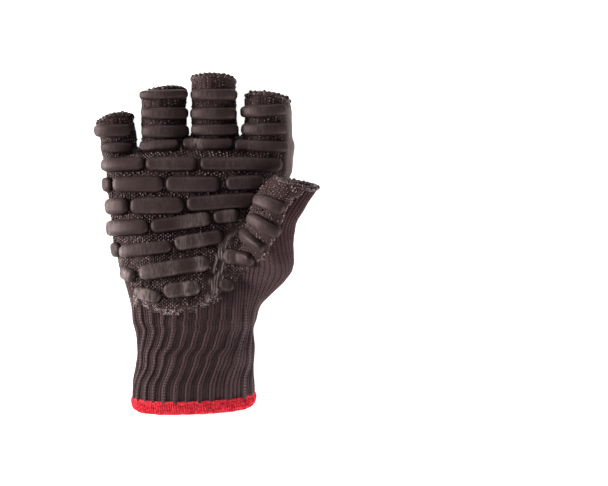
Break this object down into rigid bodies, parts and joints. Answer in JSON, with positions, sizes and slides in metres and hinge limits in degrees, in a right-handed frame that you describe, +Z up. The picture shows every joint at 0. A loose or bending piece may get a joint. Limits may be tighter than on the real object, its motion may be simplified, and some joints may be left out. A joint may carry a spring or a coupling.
{
  "type": "half-finger impact glove",
  "caption": "Right-hand half-finger knitted work glove with separate raised rubber impact pads on a coated palm, a ribbed cuff and an overlocked hem.",
  "frame": {"origin": "centre of the bounding box at the surface that the glove lies on, under the palm", "axes": "+X towards the thumb, +Y from the cuff towards the fingertips, +Z up out of the palm"},
  "size_m": [0.1312, 0.1975, 0.0606],
  "materials": {
    "knit": "dark brown-black string knit",
    "coating": "thin glossy dip coat that keeps the knit texture",
    "pad": "smooth semi-matte moulded rubber",
    "edge_yarn": "dark overcast yarn",
    "hem_yarn": "red overlock yarn"
  },
  "bodies": {
    "root": {"rib_cuff": "knit", "knit_hand": "knit", "index_stall": "knit", "middle_stall": "knit", "ring_stall": "knit", "little_stall": "knit", "thumb_stall": "knit", "index_edge": "edge_yarn", "middle_edge": "edge_yarn", "ring_edge": "edge_yarn", "little_edge": "edge_yarn", "thumb_edge": "edge_yarn", "cuff_hem": "hem_yarn", "palm_coating": "coating", "little_pad_1": "pad", "little_pad_2": "pad", "ring_pad_1": "pad", "ring_pad_2": "pad", "ring_pad_3": "pad", "middle_pad_1": "pad", "middle_pad_2": "pad", "middle_pad_3": "pad", "index_pad_1": "pad", "index_pad_2": "pad", "row_4_pad_1": "pad", "row_4_pad_2": "pad", "row_4_pad_3": "pad", "row_5_pad_1": "pad", "row_5_pad_2": "pad", "row_5_pad_3": "pad", "row_6_pad_1": "pad", "row_6_pad_2": "pad", "row_6_pad_3": "pad", "row_6_pad_4": "pad", "row_7_pad_1": "pad", "row_7_pad_2": "pad", "row_7_pad_3": "pad", "row_8_pad_1": "pad", "row_8_pad_2": "pad", "row_8_pad_3": "pad", "row_9_pad_1": "pad", "row_9_pad_2": "pad", "row_9_pad_3": "pad", "row_10_pad_1": "pad", "row_10_pad_2": "pad", "row_11_pad_1": "pad", "row_11_pad_2": "pad", "thumb_pad_1": "pad", "thumb_pad_2": "pad", "thumb_pad_3": "pad", "thumb_pad_4": "pad", "thumb_pad_5": "pad"}
  },
  "joints": []
}
